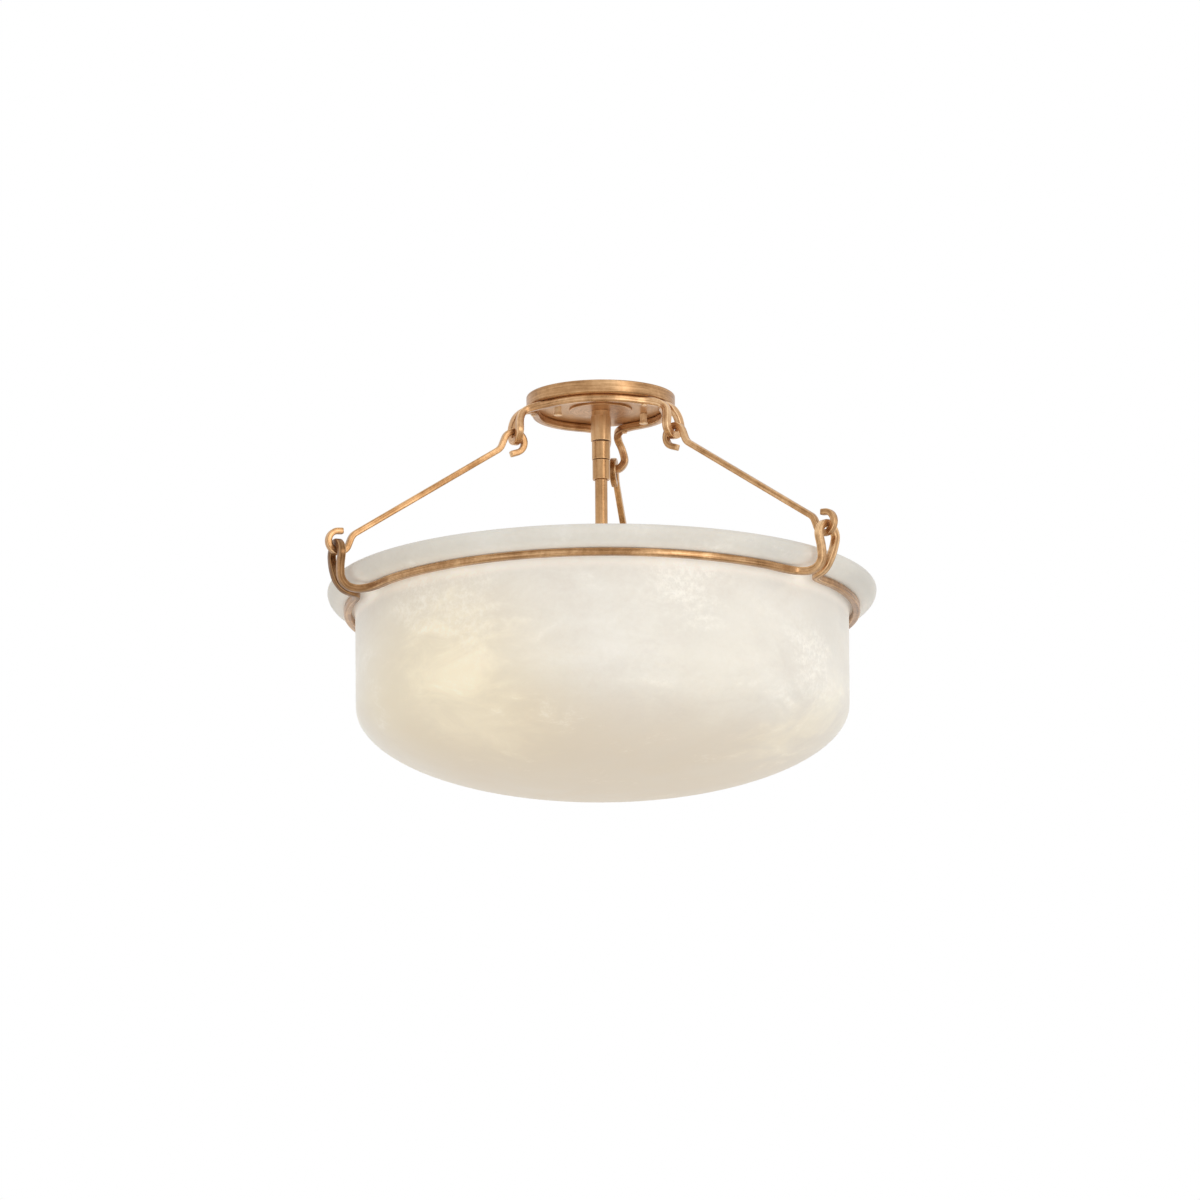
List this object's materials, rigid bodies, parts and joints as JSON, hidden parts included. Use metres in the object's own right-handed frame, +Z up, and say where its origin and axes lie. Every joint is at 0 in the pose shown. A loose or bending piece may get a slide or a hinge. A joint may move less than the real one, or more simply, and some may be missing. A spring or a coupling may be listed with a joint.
{
  "type": "semi-flush ceiling light",
  "caption": "Ceiling light with a round canopy, bent-bar rings joined by long hooks, a flared stone bowl and a centre stem that holds lamps inside it.",
  "frame": {"origin": "centre of the canopy's rim in the ceiling plane, midway between the two box screw slots", "axes": "+Z up, +X along the box strap, the first pair of eyelets near +Y; the picture looks from -Y and a little below"},
  "size_m": [0.559, 0.5772, 0.4047],
  "materials": {
    "satin_brass": "satin antique brass, finely brushed",
    "worn_brass": "hand-worn antique brass with lighter edges",
    "zinc_steel": "zinc plated",
    "green_paint": "green, semi-gloss",
    "nylon": "natural nylon",
    "porcelain": "white glaze",
    "contact_brass": "bright pressed brass",
    "bulb_cap_metal": "bright drawn",
    "milk_glass": "opal, lit",
    "alabaster": "honed alabaster, clouded"
  },
  "bodies": {
    "ceiling_strap": {"box_strap": "zinc_steel", "strap_eyelet": "zinc_steel"},
    "canopy_set": {"canopy": "satin_brass", "canopy_disc": "satin_brass", "fixture_strap": "zinc_steel", "ground_screw": "green_paint", "canopy_studs": "zinc_steel", "stud_lock_nuts": "zinc_steel", "upper_ring": "worn_brass", "ring_screws": "worn_brass", "ring_screw_nuts": "zinc_steel", "stem_nipple": "zinc_steel", "lock_washer": "zinc_steel", "stem_nut": "zinc_steel", "swivel_neck": "satin_brass", "swivel_cup": "satin_brass"},
    "left_cap_nut": {"cap_nut_left": "satin_brass"},
    "right_cap_nut": {"cap_nut_right": "satin_brass"},
    "carrier": {"lower_ring": "worn_brass"},
    "shade": {"bowl": "alabaster"},
    "back_hook": {"hook_rod_back": "worn_brass"},
    "left_hook": {"hook_rod_left": "worn_brass"},
    "right_hook": {"hook_rod_right": "worn_brass"},
    "swivel_seat": {"swivel_liner": "nylon"},
    "stem": {"swivel_ball": "zinc_steel", "swivel_sleeve": "satin_brass", "stem_coupling": "satin_brass", "stem_tube": "satin_brass", "cluster_body": "satin_brass", "cluster_cover": "satin_brass", "cover_screws": "worn_brass", "socket_arm_1": "satin_brass", "socket_arm_2": "satin_brass", "socket_arm_3": "satin_brass", "lampholder_1": "worn_brass", "lampholder_2": "worn_brass", "lampholder_3": "worn_brass", "insulator_1": "porcelain", "insulator_2": "porcelain", "insulator_3": "porcelain", "centre_contact_1": "contact_brass", "centre_contact_2": "contact_brass", "centre_contact_3": "contact_brass", "screw_shell_1": "contact_brass", "screw_shell_2": "contact_brass", "screw_shell_3": "contact_brass"},
    "bulb_1": {"bulb_cap_1": "bulb_cap_metal", "bulb_glass_1": "milk_glass"},
    "bulb_2": {"bulb_cap_2": "bulb_cap_metal", "bulb_glass_2": "milk_glass"},
    "bulb_3": {"bulb_cap_3": "bulb_cap_metal", "bulb_glass_3": "milk_glass"}
  },
  "joints": [
    {"name": "strap_turn", "type": "hinge", "parent": "ceiling_strap", "child": "canopy_set", "pos_m": [0, 0, -0.0016], "axis": [0, 0, 1], "continuous": true},
    {"name": "ring_twist", "type": "hinge", "parent": "canopy_set", "child": "carrier", "pos_m": [0, 0, -0.2237], "axis": [0, 0, 1], "range_deg": [-2.5, 2.5]},
    {"name": "back_hook_swing", "type": "hinge", "parent": "canopy_set", "child": "back_hook", "pos_m": [0.01298, 0.09234, -0.05465], "axis": [0.0735, 0.5229, 0.8492], "range_deg": [-3.2, 3.2]},
    {"name": "left_hook_swing", "type": "hinge", "parent": "canopy_set", "child": "left_hook", "pos_m": [-0.08646, -0.03493, -0.05465], "axis": [-0.4896, -0.1978, 0.8492], "range_deg": [-3.2, 3.2]},
    {"name": "right_hook_swing", "type": "hinge", "parent": "canopy_set", "child": "right_hook", "pos_m": [0.07348, -0.05741, -0.05465], "axis": [0.4161, -0.3251, 0.8492], "range_deg": [-3.2, 3.2]},
    {"name": "bowl_lift", "type": "slide", "parent": "carrier", "child": "shade", "axis": [0, 0, 1], "range_m": [0, 0.009]},
    {"name": "stem_tilt_x", "type": "hinge", "parent": "canopy_set", "child": "swivel_seat", "pos_m": [0, 0, -0.038], "axis": [1, 0, 0], "range_deg": [-3, 3]},
    {"name": "stem_tilt_y", "type": "hinge", "parent": "swivel_seat", "child": "stem", "pos_m": [0, 0, -0.038], "axis": [0, 1, 0], "range_deg": [-3, 3]},
    {"name": "bulb_1_unscrew", "type": "hinge", "parent": "stem", "child": "bulb_1", "pos_m": [0, 0, -0.275], "axis": [0.1392, 0.9903, 0], "continuous": true},
    {"name": "bulb_2_unscrew", "type": "hinge", "parent": "stem", "child": "bulb_2", "pos_m": [0, 0, -0.275], "axis": [-0.9272, -0.3746, 0], "continuous": true},
    {"name": "bulb_3_unscrew", "type": "hinge", "parent": "stem", "child": "bulb_3", "pos_m": [0, 0, -0.275], "axis": [0.788, -0.6157, 0], "continuous": true},
    {"name": "left_cap_nut_turn", "type": "hinge", "parent": "canopy_set", "child": "left_cap_nut", "pos_m": [-0.04339, -0.01932, -0.018], "axis": [0, 0, 1], "continuous": true},
    {"name": "right_cap_nut_turn", "type": "hinge", "parent": "canopy_set", "child": "right_cap_nut", "pos_m": [0.04339, 0.01932, -0.018], "axis": [0, 0, 1], "continuous": true}
  ],
  "couplings": [
    {"joint": "back_hook_swing", "follows": "ring_twist", "ratio": 1.2533},
    {"joint": "left_hook_swing", "follows": "ring_twist", "ratio": 1.2533},
    {"joint": "right_hook_swing", "follows": "ring_twist", "ratio": 1.2533}
  ]
}
